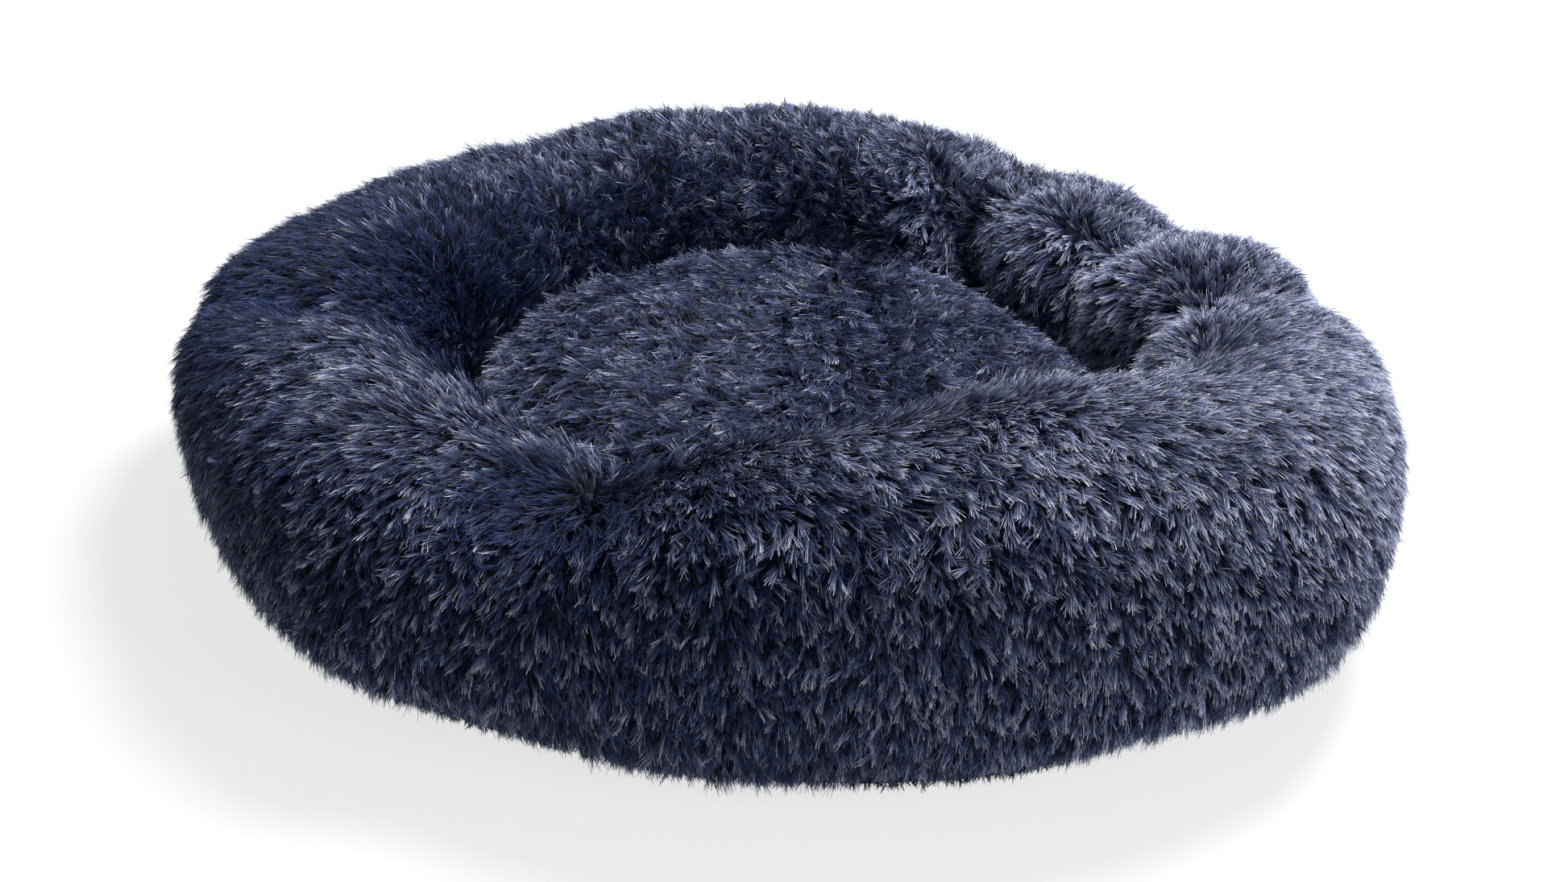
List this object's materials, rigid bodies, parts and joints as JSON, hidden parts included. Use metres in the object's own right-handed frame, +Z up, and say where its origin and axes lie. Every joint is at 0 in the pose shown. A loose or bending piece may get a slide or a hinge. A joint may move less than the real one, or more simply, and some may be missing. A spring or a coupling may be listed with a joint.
{
  "type": "dog bed",
  "caption": "Round nest bed for a dog: a thick stuffed rim of long shag faux fur, with lobes and creases, round a domed pad, in a cover with a zip and grip dots underneath.",
  "frame": {"origin": "on the floor, under the middle of the bed's bounding box", "axes": "+Z up, +X to the right and +Y to the back as the picture shows the bed"},
  "size_m": [0.9284, 0.8914, 0.2391],
  "materials": {
    "rim_shag": "long navy shag with frosted grey-lavender tips",
    "pad_shag": "the same shag, combed sideways",
    "short_pile": "short dark pile",
    "binding_tape": "woven polyester binding",
    "nonwoven": "spun-bonded non-woven",
    "fibre_fill": "carded polyester fibre",
    "coated_cloth": "coated oxford cloth with moulded grip dots",
    "zip_tape": "twill zip tape",
    "zip_teeth": "moulded acetal",
    "zinc_alloy": "die-cast zinc with a gunmetal plating"
  },
  "bodies": {
    "bed": {"rim_cover": "rim_shag", "pad_cover": "pad_shag", "skirt_band": "short_pile", "well_seam_binding": "binding_tape", "rim_liner_upper": "nonwoven", "rim_liner_lower": "nonwoven", "rim_fill": "fibre_fill", "pad_liner_upper": "nonwoven", "pad_liner_lower": "nonwoven", "pad_fill": "fibre_fill", "base_panel_front": "coated_cloth", "base_panel_rear": "coated_cloth", "base_binding": "binding_tape", "zip_tape_front": "zip_tape", "zip_tape_rear": "zip_tape", "zip_chain_front": "zip_teeth", "zip_chain_rear": "zip_teeth", "top_stop_front": "zip_teeth", "top_stop_rear": "zip_teeth", "bottom_stop": "zip_teeth"},
    "slider": {"zip_slider": "zinc_alloy"},
    "pull": {"zip_pull": "zinc_alloy"}
  },
  "joints": [
    {"name": "slider_travel", "type": "slide", "parent": "bed", "child": "slider", "axis": [-1, 0, 0], "range_m": [0, 0.2808], "deforming": ["zip_chain_front", "zip_chain_rear"]},
    {"name": "pull_swing", "type": "hinge", "parent": "slider", "child": "pull", "pos_m": [0.16389, -0.04657, 0.0037], "axis": [0, -1, 0], "range_deg": [0, 165]}
  ]
}
